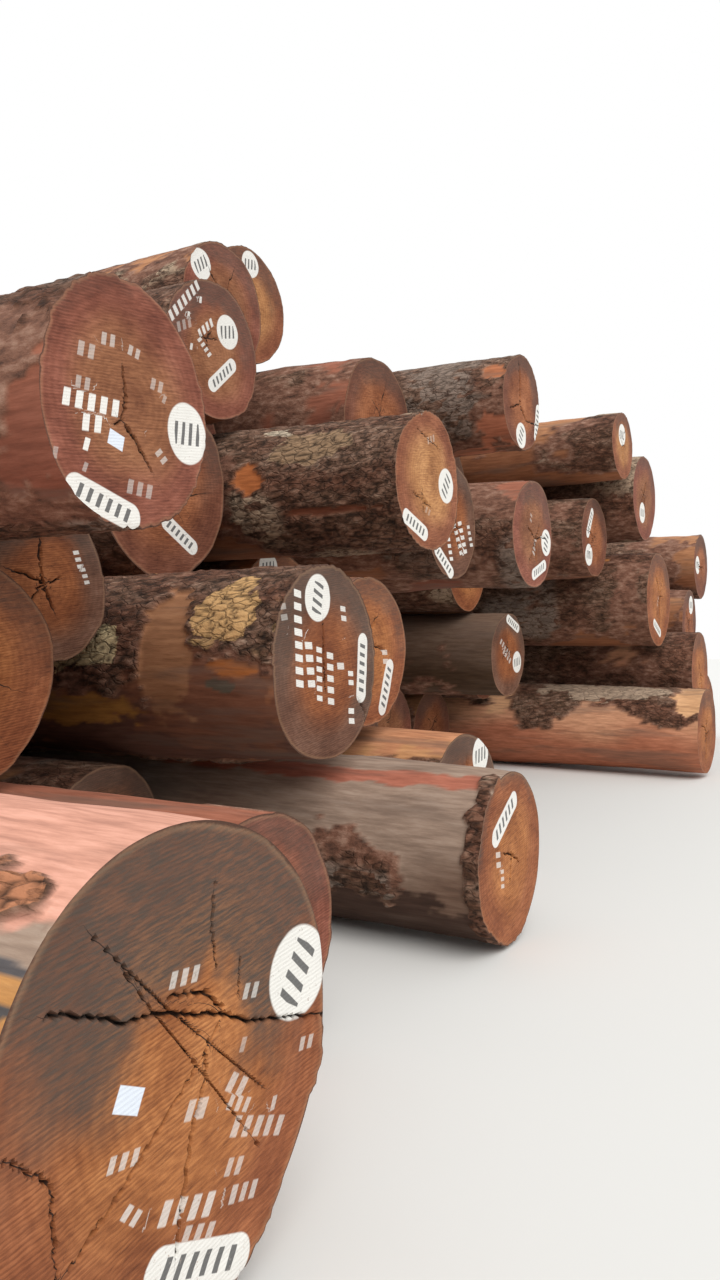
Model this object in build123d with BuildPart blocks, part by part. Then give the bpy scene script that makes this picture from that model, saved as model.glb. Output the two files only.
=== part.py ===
# Heap of hardwood logs, stacked by machine in one long row.
#
# Every log is a piece of its own: a stem with its own taper, sweep and out-of-round section,
# sawn off square at both ends. The heap is built the way a yard builds it. The ground logs are
# laid side by side. Each further log is lowered at a chosen place along the row and comes to
# rest in the nearest hollow between two logs that already lie there.
#
# Frame: X along the row of sawn faces, Y along the logs with the faces looking to -Y, Z up.
# The origin is under the middle of the heap, on the ground. Sizes are in millimetres.
import os
from dataclasses import dataclass
from itertools import combinations
from math import atan2, ceil, cos, hypot, pi, radians, sin, sqrt, tan

from build123d import *

# Sizes that all logs share
CLEARANCE = 0.5  # room left where one log bears on another
BEARING_LINE = 3600  # distance from the row of faces to where the logs bear on each other
RING_PITCH = 1000  # distance between the rings that a stem is lofted through
FURROW_REACH = 2000  # distance from the bearing line over which furrows reach their depth
RING_POINTS = 16  # points of one ring
SAW_ROOM = 150  # stem left over past each end before it is sawn off
TAPER_REACH = 1500  # distance from the bearing line over which a log loses its taper
TAPER_POWER = 1.5  # how the taper gathers pace further out
RUN_IN = 925  # where the row is measured from, before the first log's skin
ROUND_TURN = 2 * pi

# Lengths that such logs are cross-cut to
LONG = 6100
COMMON = 5800
MEDIUM = 5500
SHORT = 5200


@dataclass
class Log:
    """One log: its girth and length, where it lies in the row and how its stem has grown."""

    name: str
    diameter: float  # at the bearing line, where it is thickest
    place: float  # gap to the log before it on the ground, or else where it is lowered
    stands_out: float  # how far the sawn face stands out in front of the row
    length: float
    taper: float = 0.010  # share of its girth that it loses over the taper reach
    rise: float = 0.0  # sweep of the stem: 1 runs along the top of its room, -1 along the bottom
    dents: float = 0.035  # depth of the furrows of the stem, as a share of its radius
    turn: float = 0.0  # where the furrows lie round the stem, in degrees
    saw_yaw: float = 0.0  # how far the saw cut is off square, seen from above, in degrees
    saw_pitch: float = 0.0  # how far it is off plumb, in degrees

    @property
    def radius(self):
        return self.diameter / 2


GROUND = [
    Log("ground_log_1", 1130, 0, 1410, LONG, 0.010, 0.1, 0.050, 15),
    Log("ground_log_2", 900, 5, 820, COMMON, 0.007, 0.9, 0.020, 80),
    Log("ground_log_3", 850, 5, -800, COMMON, 0.010, 0.0, 0.040, 130),
    Log("ground_log_4", 870, 5, 950, MEDIUM, 0.008, -0.6, 0.030, 200, 2.0),
    Log("ground_log_5", 960, 5, 260, COMMON, 0.014, -0.6, 0.040, 250),
    Log("ground_log_6", 980, 260, -1800, SHORT, 0.010, 0.0, 0.040, 20),
    Log("ground_log_7", 1090, 15, -2000, SHORT, 0.010, 0.0, 0.050, 300),
    Log("ground_log_8", 1000, 10, -2200, SHORT, 0.010, 0.0, 0.040, 60),
    Log("ground_log_9", 890, 5, -2200, SHORT, 0.010, 0.0, 0.030, 110),
    Log("ground_log_10", 940, 110, 450, LONG, 0.010, 0.0, 0.030, 170),
    Log("ground_log_11", 1020, 540, -500, COMMON, 0.010, 0.0, 0.045, 220),
    Log("ground_log_12", 940, 320, -550, MEDIUM, 0.010, 0.0, 0.035, 290, 1.0),
    Log("ground_log_13", 970, 130, -400, COMMON, 0.010, 0.0, 0.050, 340, -1.5, 1.0),
]

# The logs above, in the order in which they were stacked
LOWERED = [
    Log("lower_log_10", 930, 11130, 230, COMMON, 0.010, 0.0, 0.035, 40, 1.5),
    Log("lower_log_9", 800, 9860, -1800, SHORT, 0.010, 0.0, 0.040, 95),
    Log("lower_log_11", 960, 12620, -700, COMMON, 0.010, 0.0, 0.040, 140, -1.0),
    Log("lower_log_8", 900, 9020, -1150, MEDIUM, 0.010, 0.6, 0.045, 205),
    Log("lower_log_12", 960, 13750, -850, MEDIUM, 0.010, 0.0, 0.045, 260, 1.0, -1.0),
    Log("lower_log_3", 1030, 3770, 240, COMMON, 0.020, 0.9, 0.035, 310, 2.0, -1.0),
    Log("lower_log_1", 930, 2200, -300, COMMON, 0.010, 0.0, 0.045, 10, -2.0),
    Log("lower_log_4", 980, 4770, -170, COMMON, 0.024, -0.6, 0.040, 65),
    Log("lower_log_6", 1060, 6770, -2000, SHORT, 0.010, 0.0, 0.040, 120),
    Log("lower_log_7", 1160, 8020, -2200, SHORT, 0.010, 0.0, 0.050, 175),
    Log("middle_log_10", 840, 11820, -50, COMMON, 0.010, 0.0, 0.035, 230, 1.5),
    Log("lower_log_5", 1030, 5740, -1530, MEDIUM, 0.010, 0.9, 0.035, 285),
    Log("lower_log_2", 790, 2970, -750, MEDIUM, 0.010, 0.6, 0.040, 335),
    Log("middle_log_9", 1120, 10490, -50, COMMON, 0.022, -0.9, 0.040, 30, 1.0),
    Log("middle_log_11", 960, 13140, -760, MEDIUM, 0.010, 0.0, 0.040, 85, -1.0),
    Log("middle_log_7", 880, 8820, -1500, MEDIUM, 0.010, 0.0, 0.040, 150),
    Log("middle_log_1", 880, 2320, 450, LONG, 0.010, -0.3, 0.030, 195, 4.0, 1.0),
    Log("middle_log_5", 940, 7310, -190, COMMON, 0.012, 0.2, 0.035, 245, 1.0),
    Log("upper_log_8", 840, 12300, -30, COMMON, 0.010, 0.0, 0.035, 305, 1.0),
    Log("middle_log_4", 880, 6400, -440, COMMON, 0.010, -0.5, 0.035, 350),
    Log("middle_log_2", 1200, 4180, -1190, MEDIUM, 0.030, 0.9, 0.040, 25),
    Log("middle_log_3", 930, 5230, -20, COMMON, 0.014, -0.8, 0.040, 75, 2.0),
    Log("middle_log_8", 910, 9650, -480, MEDIUM, 0.025, 0.8, 0.035, 135),
    Log("middle_log_6", 850, 8120, -1500, MEDIUM, 0.010, 0.0, 0.040, 185),
    Log("upper_log_7", 980, 10470, -190, COMMON, 0.010, 0.4, 0.040, 240, 1.0),
    Log("upper_log_2", 860, 5900, -2600, SHORT, 0.010, 0.0, 0.040, 295),
    Log("upper_log_5", 940, 8920, -1800, MEDIUM, 0.010, 0.0, 0.040, 345),
    Log("upper_log_3", 1160, 6860, -1370, MEDIUM, 0.030, -0.9, 0.040, 35),
    Log("upper_log_1", 980, 4720, -1320, MEDIUM, 0.030, 0.9, 0.045, 90, 1.0),
    Log("upper_log_6", 740, 9710, -210, COMMON, 0.010, 0.0, 0.035, 145),
    Log("upper_log_4", 870, 7860, -520, COMMON, 0.010, -0.3, 0.030, 210),
    Log("top_log_1", 940, 5550, -1840, MEDIUM, 0.010, 0.0, 0.045, 255, 1.0),
    Log("top_log_2", 1000, 6420, -2330, MEDIUM, 0.030, 0.9, 0.040, 315, -1.0),
]


def lay_on_ground(logs):
    """Axis of each ground log, as (x, z): tangent to the ground, a gap away from the last one."""
    laid = []
    for log in logs:
        x = 0
        if laid:
            before, (before_x, before_z) = laid[-1]
            reach = before.radius + log.radius + max(log.place, CLEARANCE)
            x = before_x + sqrt(reach**2 - (before.radius - log.radius) ** 2)
        laid.append((log, (x, log.radius)))
    return laid


def hollow(left, right, radius):
    """Axis of a log of that radius which lies in the hollow between two others, or None."""
    left_log, (left_x, left_z) = left
    right_log, (right_x, right_z) = right
    from_left = left_log.radius + radius + CLEARANCE
    from_right = right_log.radius + radius + CLEARANCE
    apart = hypot(right_x - left_x, right_z - left_z)
    if not abs(from_left - from_right) < apart < from_left + from_right:
        return None
    along = (from_left**2 - from_right**2 + apart**2) / (2 * apart)
    above = sqrt(from_left**2 - along**2)
    slope = atan2(right_z - left_z, right_x - left_x)
    x = left_x + along * cos(slope) - above * sin(slope)
    z = left_z + along * sin(slope) + above * cos(slope)
    return (x, z) if left_x < x < right_x else None


def is_free(axis, radius, laid):
    """Whether a log of that radius fits there without cutting into any log that lies there."""
    x, z = axis
    touching = 1e-6
    return all(
        hypot(x - other_x, z - other_z) > other.radius + radius + CLEARANCE - touching
        for other, (other_x, other_z) in laid
    )


def lower(log, laid, row_start):
    """Add a log to the heap, in the free hollow nearest to the place where it is lowered."""
    by_x = sorted(laid, key=lambda entry: entry[1][0])
    seats = [hollow(left, right, log.radius) for left, right in combinations(by_x, 2)]
    free = [seat for seat in seats if seat and is_free(seat, log.radius, laid)]
    aim = row_start + log.place
    laid.append((log, min(free, key=lambda seat: abs(seat[0] - aim))))


def ring(log, axis, distance):
    """Points of the stem's section at that distance from its bearing ring.

    The bearing ring is a full circle. Away from it the stem gets slimmer, furrows deepen and
    its middle drifts up or down, and it always stays inside the bearing ring's circle.
    """
    slimmer = log.taper * (abs(distance) / TAPER_REACH) ** TAPER_POWER
    furrow = log.dents * min(1, abs(distance) / FURROW_REACH)
    middle_z = axis[1] + log.rise * slimmer * log.radius
    points = []
    for step in range(RING_POINTS):
        angle = ROUND_TURN * step / RING_POINTS
        turned = angle + radians(log.turn)
        wide = (1 + cos(2 * turned)) / 2
        narrow = (1 + cos(3 * turned + 1)) / 4 + (1 + cos(5 * turned + 2)) / 8
        reach = log.radius * (1 - slimmer - furrow * (wide + narrow) / 2)
        points.append((axis[0] + reach * cos(angle), middle_z + reach * sin(angle)))
    return points


def saw_plane(log, axis, y, facing):
    """Plane of a saw cut whose foremost point is at y, looking along Y to that side."""
    lean = tan(radians(abs(log.saw_yaw))) + tan(radians(abs(log.saw_pitch)))
    centre = (axis[0], y - facing * log.radius * lean, axis[1])
    side = sin(radians(log.saw_yaw))
    up = sin(radians(log.saw_pitch))
    return Plane(origin=centre, z_dir=(side, facing, up))


def make_log(log, axis):
    """Loft the stem through its rings, as many to each side, and saw both ends off.

    With the same rings to both sides of the bearing ring, that ring stays the thickest place.
    """
    front = -log.stands_out
    back = front + log.length
    farthest = max(BEARING_LINE - front, back - BEARING_LINE) + SAW_ROOM
    rings = ceil(farthest / RING_PITCH)
    with BuildPart() as stem:
        for step in range(-rings, rings + 1):
            distance = step * RING_PITCH
            with BuildSketch(Plane.XZ.offset(-BEARING_LINE - distance)):
                with BuildLine():
                    Spline(*ring(log, axis, distance), periodic=True)
                make_face()
        loft(ruled=True)
        split(bisect_by=saw_plane(log, axis, front, -1), keep=Keep.BOTTOM)
        split(bisect_by=saw_plane(log, axis, back, 1), keep=Keep.BOTTOM)
    return stem


heap = lay_on_ground(GROUND)
first_log, (first_x, first_z) = heap[0]
row_start = first_x - first_log.radius - RUN_IN
for lowered_log in LOWERED:
    lower(lowered_log, heap, row_start)

# The heap's middle on the ground, from the circles and faces that bound it
left_end = min(x - log.radius for log, (x, z) in heap)
right_end = max(x + log.radius for log, (x, z) in heap)
front_end = min(-log.stands_out for log, axis in heap)
back_end = max(log.length - log.stands_out for log, axis in heap)
to_origin = Location((-(left_end + right_end) / 2, -(front_end + back_end) / 2, 0))

os.makedirs("parts", exist_ok=True)
for log, axis in heap:
    stem = make_log(log, axis)
    piece = stem.part.moved(to_origin)
    piece.label = log.name
    export_step(piece, f"parts/{log.name}.step")
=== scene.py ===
# %% [markdown]
# # A heap of hardwood logs
# The real heap lies in a timber yard: big tropical logs, felled and cross-cut with a chainsaw,
# peeled in places by the machines that stacked them. The CAD model already has every stem in
# its place, so this script gives each stem its skin: plated bark, bare wood where the bark
# came off, sawn faces with checks and saw marks, and the white paint spots of a log yard.

# %% The tools and the fixed frame
import math

import bpy
import numpy as np
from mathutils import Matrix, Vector
from mathutils.bvhtree import BVHTree


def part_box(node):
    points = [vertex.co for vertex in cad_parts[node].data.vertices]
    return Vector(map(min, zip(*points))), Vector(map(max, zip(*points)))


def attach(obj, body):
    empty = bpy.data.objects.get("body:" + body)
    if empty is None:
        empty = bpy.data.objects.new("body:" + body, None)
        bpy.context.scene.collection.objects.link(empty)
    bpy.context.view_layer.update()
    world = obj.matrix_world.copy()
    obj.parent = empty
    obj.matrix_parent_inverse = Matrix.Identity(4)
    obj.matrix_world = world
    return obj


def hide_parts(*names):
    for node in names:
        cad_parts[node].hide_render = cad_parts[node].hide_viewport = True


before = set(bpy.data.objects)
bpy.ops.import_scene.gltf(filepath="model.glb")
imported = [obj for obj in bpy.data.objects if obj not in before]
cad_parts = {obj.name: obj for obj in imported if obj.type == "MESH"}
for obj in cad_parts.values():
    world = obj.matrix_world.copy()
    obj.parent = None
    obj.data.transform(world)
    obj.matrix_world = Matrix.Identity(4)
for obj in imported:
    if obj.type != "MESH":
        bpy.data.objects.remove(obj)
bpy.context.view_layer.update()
NAMES = sorted(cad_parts)
print("stems in the frame:", len(NAMES))

# %% [markdown]
# The skin of each log has to follow its CAD stem. The stem could be written down again as a
# formula, but then a change of the stem would be missed here. So it is felt with rays: a
# ray along the log finds each sawn face and its tilt, and rays from all round find how far
# the wood reaches from the axis.

# %% Feel the stems
FEEL_STATIONS = 13  # places along a stem where it is felt
FEEL_ANGLES = 48  # directions round a stem
FEEL_FROM = 1.5  # metres from the axis where a ray starts
FEEL_INSET = 0.03  # the outermost stations stay this far inside the sawn faces
SEAM = -math.pi / 2  # the columns of a skin start underneath


def feel_face(tree, x, z, y, direction):
    """One sawn face: the place where a ray along the axis meets it, and its outward normal."""
    place, normal, _, _ = tree.ray_cast(Vector((x, y - direction, z)), Vector((0, direction, 0)))
    normal = -direction * normal if normal.y * direction > 0 else normal
    return place.y, np.array([normal.x, normal.z]) / normal.y


def feel_stem(name):
    """Axis, faces and reach of one stem.

    The reach is a table of stations by angles: each value is the distance from the axis to the
    skin along one ray that is square to the axis.
    """
    tree = BVHTree.FromObject(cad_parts[name], bpy.context.evaluated_depsgraph_get())
    low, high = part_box(name)
    x, z = (low.x + high.x) / 2, (low.z + high.z) / 2
    front, front_slope = feel_face(tree, x, z, low.y, 1)
    back, back_slope = feel_face(tree, x, z, high.y, -1)
    radius = (high.x - low.x) / 2
    lean = radius * (np.abs(front_slope).max() + np.abs(back_slope).max())
    stations = np.linspace(front + lean + FEEL_INSET, back - lean - FEEL_INSET, FEEL_STATIONS)
    angles = SEAM + 2 * math.pi * np.arange(FEEL_ANGLES) / FEEL_ANGLES
    reach = [
        [
            FEEL_FROM - tree.ray_cast(
                Vector((x + FEEL_FROM * c, y, z + FEEL_FROM * s)), Vector((-c, 0, -s))
            )[3]
            for c, s in zip(np.cos(angles), np.sin(angles))
        ]
        for y in stations
    ]
    return {
        "x": x, "z": z, "front": front, "back": back, "front_slope": front_slope,
        "back_slope": back_slope, "radius": radius, "stations": stations,
        "reach": np.array(reach),
    }


STEMS = {name: feel_stem(name) for name in NAMES}
print("thickest stem:", round(2 * max(s["radius"] for s in STEMS.values()), 2), "m")

# %% [markdown]
# Bark and weather are random, but the same on every run, so each pattern draws its numbers
# from a seed. Two patterns do most of the work. The first is a smooth wandering surface. The
# second cuts the skin into plates, as a thick bark splits when the stem grows in girth. Both
# close round the log without a seam, because their lattice has a whole number of cells there.

# %% Patterns that close round a stem
SEEDS_EACH = 20
PLATE_RISE = 2.2  # so that the middle of a plate comes out at about 1


def wander(seed, around, along, cells, pitch):
    """Smooth random heights from -1 to 1.

    Random numbers stand on the corners of a lattice with that many cells round the log and one
    cell per pitch along it. Between corners they are blended with 3t^2 - 2t^3 both ways.
    """
    rng = np.random.default_rng(seed)
    v = (along - along.min()) / pitch
    u = around * cells
    row, column = np.floor(v).astype(int), np.floor(u).astype(int)
    heights = rng.uniform(-1, 1, (row.max() + 2, cells))
    fv, fu = v - row, u - column
    fv, fu = fv * fv * (3 - 2 * fv), fu * fu * (3 - 2 * fu)
    left, right = column % cells, (column + 1) % cells
    near = heights[row, left] * (1 - fu) + heights[row, right] * fu
    far = heights[row + 1, left] * (1 - fu) + heights[row + 1, right] * fu
    return near * (1 - fv) + far * fv


def plates(seed, around, along, cells, pitch):
    """Bark plates: how far inside its plate each point lies, and a random number per plate.

    Every lattice cell holds one seed point. The first result is the second nearest seed's
    distance less the nearest one's, so it is 0 in a furrow and about 1 inside a plate.
    """
    rng = np.random.default_rng(seed)
    v = (along - along.min()) / pitch + 1
    u = around * cells
    row, column = np.floor(v).astype(int), np.floor(u).astype(int)
    shape = (row.max() + 3, cells)
    seed_v, seed_u, number = (rng.uniform(0, 1, shape) for _ in range(3))
    nearest = second = np.full(v.shape, np.inf)
    own = np.zeros(v.shape)
    for step_v in (-1, 0, 1):
        for step_u in (-1, 0, 1):
            r, c = row + step_v, (column + step_u) % cells
            gap = np.hypot(row + step_v + seed_v[r, c] - v, column + step_u + seed_u[r, c] - u)
            closer = gap < nearest
            second = np.where(closer, nearest, np.minimum(second, gap))
            own = np.where(closer, number[r, c], own)
            nearest = np.where(closer, gap, nearest)
    return np.clip((second - nearest) * PLATE_RISE, 0, 1), own


def waves(seed, around, along, table):
    """A sum of wandering heights, each (its own number, cells, pitch, how high)."""
    return sum(
        high * wander(seed + number, around, along, cells, pitch)
        for number, cells, pitch, high in table
    )


def seed_of(name):
    """The first of the seeds that belong to this log alone."""
    return NAMES.index(name) * SEEDS_EACH


def soft_step(value, low, high):
    """0 below low, 1 above high, and 3t^2 - 2t^3 between them."""
    t = np.clip((value - low) / (high - low), 0, 1)
    return t * t * (3 - 2 * t)


# %% [markdown]
# Every log has its own looks: how much bark is left, the colours of its bare wood and of its
# face, and the marks on the face. Colours are written as hex values and turned to linear
# light by one function.

# %% Colours of wood
def linear(hex_colour):
    """Linear red, green and blue of an sRGB hex colour: c/12.92 below 0.04045, else the curve."""
    c = np.array([int(hex_colour[i:i + 2], 16) for i in (1, 3, 5)]) / 255
    return tuple(np.where(c <= 0.04045, c / 12.92, ((c + 0.055) / 1.055) ** 2.4))


# A face is one colour at its heart and another outside it; bare wood a lighter one above and a
# darker one below, as painted light and shade
FACES = {
    "orange": ("#c98852", "#ad6d47"), "red": ("#a97552", "#9f6350"),
    "brown": ("#a8693f", "#84614f"), "pale": ("#d8a26c", "#a86c4d"),
    "plain": ("#b3754e", "#8f5d48"),
}
WOODS = {
    "pink": ("#dfa48e", "#c08a60"), "grey": ("#a8917f", "#7d6353"),
    "salmon": ("#d8a07c", "#c07a5c"), "orange": ("#b9835c", "#9a6546"),
    "red": ("#a5674f", "#8a5340"), "yellow": ("#d09a6a", "#ae7a56"),
    "dark": ("#7d6655", "#56412f"),
}
FLAKES = {"ochre": "#cfa468", "beige": "#b59c82", "grey": "#8d7a6c"}

# name: grid (columns, stem rows, face rings), shares of thick bark and of bare wood, how far
# the bark keeps to the top (-1 to 1), and the names of wood, face and flakes
LOOKS = {
    "ground_log_1": ((360, 90, 90), 0.14, 0.80, -0.2, "pink", "orange", "grey"),
    "ground_log_2": ((140, 80, 30), 0.04, 0.50, 0.0, "red", "red", "grey"),
    "ground_log_4": ((180, 130, 28), 0.05, 0.84, -0.4, "grey", "orange", "grey"),
    "ground_log_5": ((80, 56, 16), 0.12, 0.80, 0.4, "yellow", "brown", "grey"),
    "ground_log_10": ((130, 100, 16), 0.36, 0.62, 1.6, "salmon", "orange", "beige"),
    "ground_log_13": ((72, 56, 12), 0.30, 0.55, 0.5, "salmon", "orange", "grey"),
    "lower_log_2": ((100, 56, 18), 0.50, 0.10, 0.0, "orange", "brown", "grey"),
    "lower_log_3": ((240, 170, 36), 0.48, 0.26, 0.5, "orange", "brown", "ochre"),
    "lower_log_4": ((100, 48, 20), 0.50, 0.20, 0.0, "orange", "orange", "grey"),
    "lower_log_5": ((76, 56, 14), 0.35, 0.30, 0.0, "orange", "orange", "grey"),
    "lower_log_8": ((76, 56, 14), 0.10, 0.70, 0.0, "dark", "brown", "grey"),
    "lower_log_10": ((76, 56, 14), 0.60, 0.15, 0.0, "salmon", "orange", "beige"),
    "middle_log_1": ((220, 90, 44), 0.62, 0.10, 0.4, "red", "red", "grey"),
    "middle_log_3": ((190, 140, 30), 0.86, 0.05, 0.3, "orange", "pale", "beige"),
    "middle_log_4": ((80, 56, 16), 0.50, 0.10, 0.0, "orange", "brown", "grey"),
    "middle_log_5": ((96, 72, 20), 0.40, 0.20, 0.0, "red", "red", "grey"),
    "middle_log_8": ((76, 56, 14), 0.55, 0.15, 0.0, "orange", "plain", "grey"),
    "middle_log_9": ((96, 72, 20), 0.45, 0.25, 0.3, "orange", "orange", "grey"),
    "middle_log_10": ((76, 52, 14), 0.40, 0.25, 0.0, "orange", "plain", "grey"),
    "upper_log_1": ((130, 80, 26), 0.75, 0.08, 0.3, "orange", "red", "beige"),
    "upper_log_2": ((96, 72, 14), 0.60, 0.22, -0.5, "salmon", "red", "beige"),
    "upper_log_4": ((120, 96, 20), 0.62, 0.12, 0.2, "salmon", "plain", "grey"),
    "upper_log_6": ((76, 56, 14), 0.50, 0.35, 0.0, "orange", "pale", "beige"),
    "upper_log_7": ((96, 72, 16), 0.70, 0.10, 0.0, "orange", "red", "beige"),
    "upper_log_8": ((76, 56, 14), 0.50, 0.20, 0.0, "orange", "plain", "grey"),
    "top_log_1": ((100, 64, 20), 0.75, 0.10, 0.3, "orange", "red", "beige"),
    "top_log_2": ((100, 64, 20), 0.60, 0.20, 0.0, "salmon", "pale", "beige"),
}
PLAIN_GRID = (60, 44, 9)


def look_of(name):
    """The log's row of LOOKS, or for a log that the photograph barely shows a plain one."""
    order = NAMES.index(name)
    wood = ("orange", "red", "salmon")[order % 3]
    face = ("plain", "orange", "brown", "red")[order % 4]
    flake = ("grey", "beige")[order % 2]
    shares = (0.40 + 0.1 * (order % 4), 0.12 + 0.05 * (order % 3), 0.0)
    return LOOKS.get(name, (PLAIN_GRID, *shares, wood, face, flake))


print("logs with looks of their own:", len(LOOKS))

# %% [markdown]
# Some patches are seen so well that they are listed one by one: each one is an ellipse on the skin,
# with a torn edge, where the bark was left, was peeled, or carries crust of a colour of its own.

# %% Patches listed one by one
# name: (direction in degrees, metres behind the face, half width, half length, what, colour)
PATCHES = {
    "ground_log_1": [
        (95, 0.6, 0.42, 1.3, "bare", "#e2a68f"), (139, 0.5, 0.08, 1, "bare", "#a8917f"),
        (150, 0.5, 0.07, 0.9, "bare", "#cf9659"), (162, 0.5, 0.07, 0.9, "bare", "#a8545a"),
        (178, 0.5, 0.1, 0.9, "bare", "#a78d86"), (141, 0.16, 0.016, 0.16, "bare", "#5c5859"),
        (149, 0.05, 0.016, 0.07, "bare", "#54504f"), (128, 0.2, 0.075, 0.16, "crust", "#c07f5a"),
    ],
    "lower_log_3": [
        (135, 1.7, 0.5, 1.1, "bark", ""), (228, 0.7, 0.34, 1.2, "bare", "#6c483a"),
        (203, 0.42, 0.36, 0.44, "bare", "#80523c"), (204, 1.25, 0.1, 0.52, "bare", "#b5803f"),
        (210, 1.8, 0.13, 0.2, "bare", "#9c8768"), (170, 0.62, 0.45, 0.15, "bare", "#a27250"),
        (142, 0.25, 0.24, 0.24, "bark", ""), (143, 0.3, 0.2, 0.17, "crust", "#cfa26c"),
        (176, 0.22, 0.05, 0.13, "bare", "#b46b34"), (185, 0.3, 0.035, 0.09, "bare", "#5c5446"),
        (166, 1.12, 0.13, 0.28, "crust", "#c9b288"),
    ],
    "middle_log_3": [
        (150, 0.65, 0.17, 0.32, "crust", "#9a7c5e"), (128, 0.95, 0.07, 0.14, "crust", "#c6b59c"),
        (103, 0.2, 0.06, 0.2, "bare", "#a39085"), (101, 0.5, 0.05, 0.12, "bare", "#cb7445"),
        (176, 1.07, 0.1, 0.11, "bare", "#bd7140"), (208, 0.55, 0.03, 0.34, "bare", "#84503a"),
    ],
    "ground_log_4": [
        (118, 0.9, 0.07, 1.2, "bare", "#b5705a"), (232, 0.6, 0.2, 0.9, "bare", "#4e392f"),
        (165, 0.02, 0.55, 0.07, "bark", ""), (197, 0.62, 0.05, 0.12, "bark", ""),
    ],
    "ground_log_5": [(95, 0.9, 0.4, 1.4, "bare", "#c98d66"), (146, 0.16, 0.07, 0.32, "bark", "")],
    "ground_log_10": [
        (112, 1, 0.2, 0.75, "crust", "#b59c84"), (125, 2.15, 0.3, 0.16, "bare", "#dfae84"),
        (118, 0.05, 0.34, 0.24, "bare", "#e0ae80"),
    ],
    "upper_log_4": [(150, 0.12, 0.1, 0.14, "bare", "#b5714c")],
    "upper_log_2": [(95, 0.9, 0.1, 0.8, "bare", "#c07a5a")],
    "middle_log_9": [(125, 0.55, 0.05, 0.1, "crust", "#d0884e")],
}
print("patches placed by hand:", sum(len(v) for v in PATCHES.values()))

# %% [markdown]
# A yard marks each log on its sawn face: a white disc, a long white spot with round ends, rows
# of small stencilled bars and sometimes a blank paper tag. Places are millimetres right of and
# above the middle of the face, turns are degrees.

# %% The marks on the faces
# name: disc (x, z, turn), pill (x, z, turn), tag (x, z, turn)
AWAY = (9000, 9000, 0)
MARKS = {
    "ground_log_1": ((382, 95, 60), (39, -400, -22), (-160, 12, -25)),
    "ground_log_2": ((60, 130, 20), AWAY, AWAY),
    "ground_log_4": (AWAY, (-81, 176, 32), AWAY),
    "ground_log_5": ((200, 260, 10), AWAY, AWAY),
    "lower_log_3": ((-94, 350, 80), (316, 20, 88), AWAY),
    "lower_log_4": (AWAY, (192, -227, 70), AWAY),
    "lower_log_5": ((-140, 380, 10), AWAY, AWAY),
    "lower_log_8": ((224, -66, 10), (121, 320, -21), AWAY),
    "middle_log_1": ((294, -49, 5), (-131, -345, -15), (-72, -136, -15)),
    "middle_log_2": (AWAY, (122, -262, -30), AWAY),
    "middle_log_3": ((238, -14, 60), (-190, -300, -18), AWAY),
    "middle_log_4": (AWAY, (-128, -310, -35), AWAY),
    "middle_log_5": ((290, -49, 75), (130, -280, 20), AWAY),
    "middle_log_8": ((-171, -160, 0), (-140, 162, 60), AWAY),
    "middle_log_9": (AWAY, (-80, -330, -24), AWAY),
    "middle_log_10": ((83, 211, 0), AWAY, AWAY),
    "upper_log_1": ((149, 184, 15), (99, -104, 41), AWAY),
    "upper_log_4": ((-20, -290, 70), (340, -120, 80), AWAY),
    "upper_log_6": ((-31, 108, 0), AWAY, AWAY),
    "upper_log_7": ((-98, -160, 0), AWAY, AWAY),
    "upper_log_8": ((-172, 1, 0), AWAY, AWAY),
    "top_log_1": ((-260, 225, 40), AWAY, AWAY),
    "top_log_2": ((20, 350, 10), AWAY, AWAY),
}

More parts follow.
